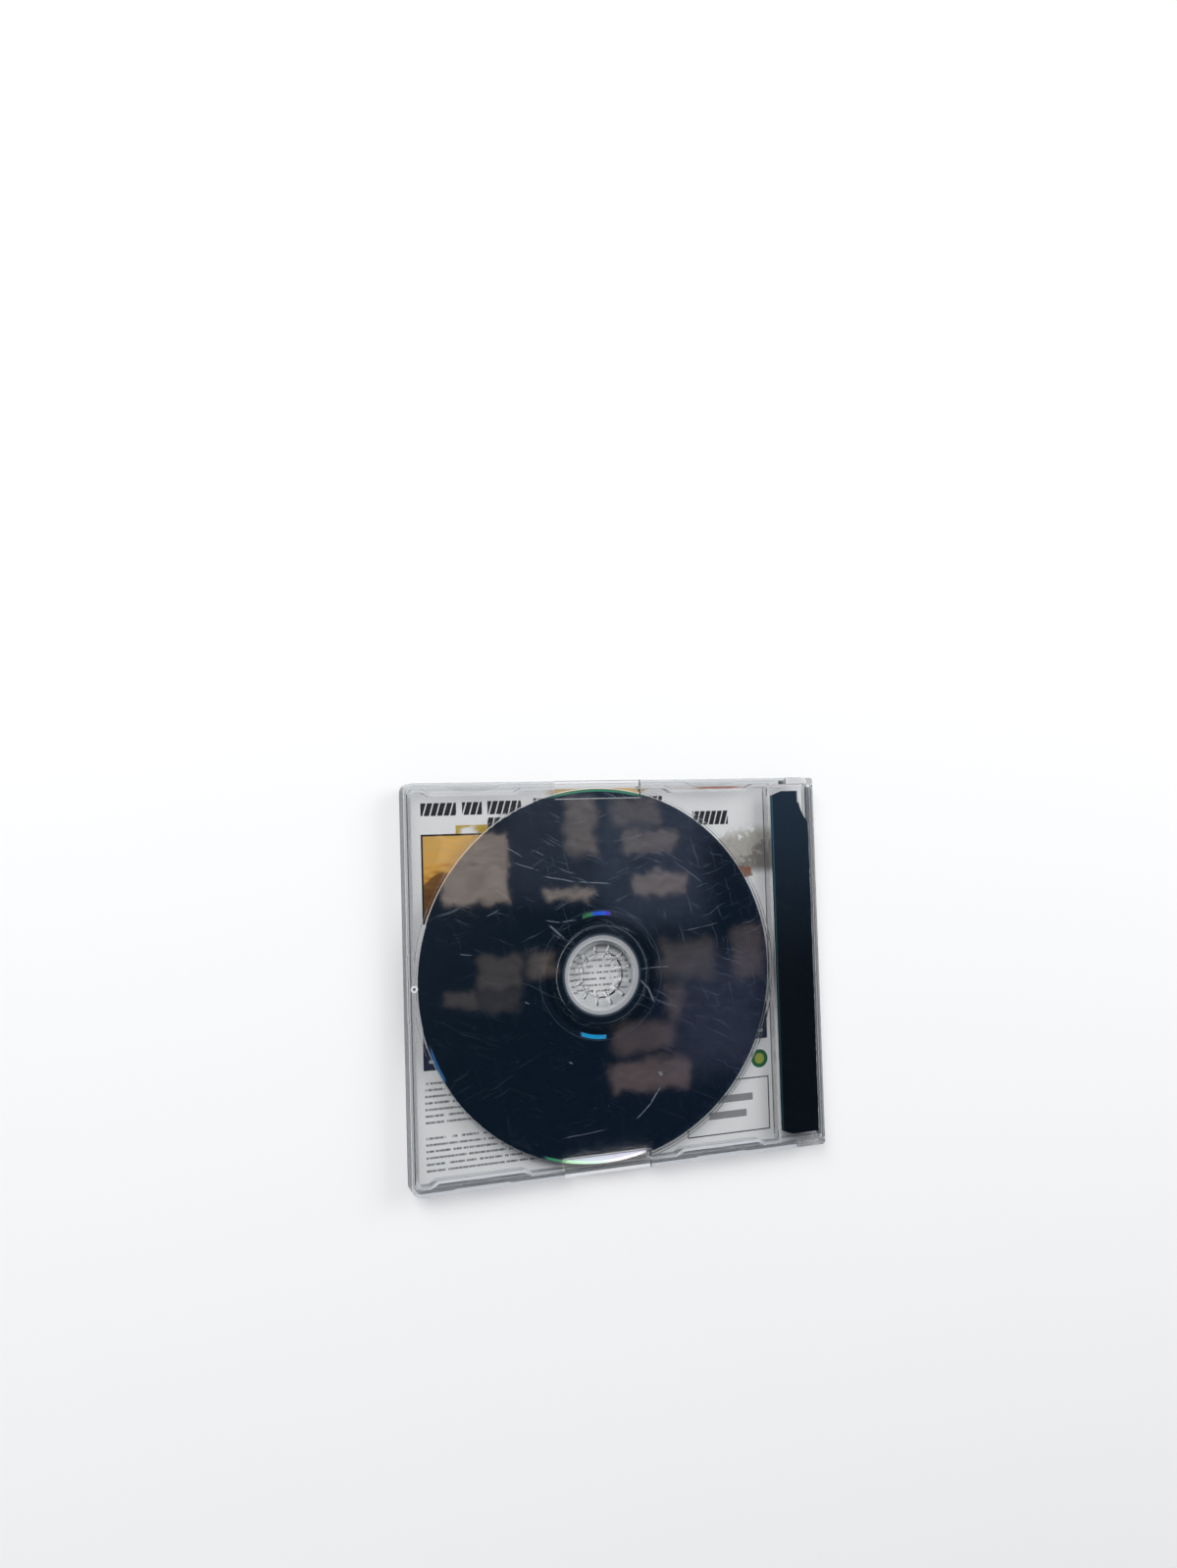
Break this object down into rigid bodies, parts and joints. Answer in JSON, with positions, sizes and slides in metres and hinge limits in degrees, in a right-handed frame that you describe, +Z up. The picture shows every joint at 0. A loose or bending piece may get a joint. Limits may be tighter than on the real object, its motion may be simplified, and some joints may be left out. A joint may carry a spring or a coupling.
{
  "type": "game disc case",
  "caption": "Slim clear hinged case for one optical disc: lid with card tabs, tray with toothed hub, disc and folded insert card.",
  "frame": {"origin": "middle of the front cover's outer face, which the case lies on", "axes": "+X towards the hinged spine, +Y along the spine, +Z up, out of the clear back"},
  "size_m": [0.142, 0.125, 0.007],
  "materials": {
    "clear_lid": "clear moulded polystyrene",
    "clear_tray": "clear moulded polystyrene",
    "disc_surface": "dark navy mirror under clear polycarbonate",
    "printed_card": "coated printed card"
  },
  "bodies": {
    "lid": {"lid": "clear_lid", "insert_card": "printed_card"},
    "tray": {"base_tray": "clear_tray"},
    "disc": {"disc": "disc_surface"}
  },
  "joints": [
    {"name": "case_hinge", "type": "hinge", "parent": "lid", "child": "tray", "pos_m": [0.0682, 0, 0.0049], "axis": [0, 1, 0], "range_deg": [0, 180], "deforming": ["insert_card"]},
    {"name": "disc_turn", "type": "hinge", "parent": "tray", "child": "disc", "pos_m": [-0.0079, 0, 0.0043], "axis": [0, 0, 1], "continuous": true}
  ]
}
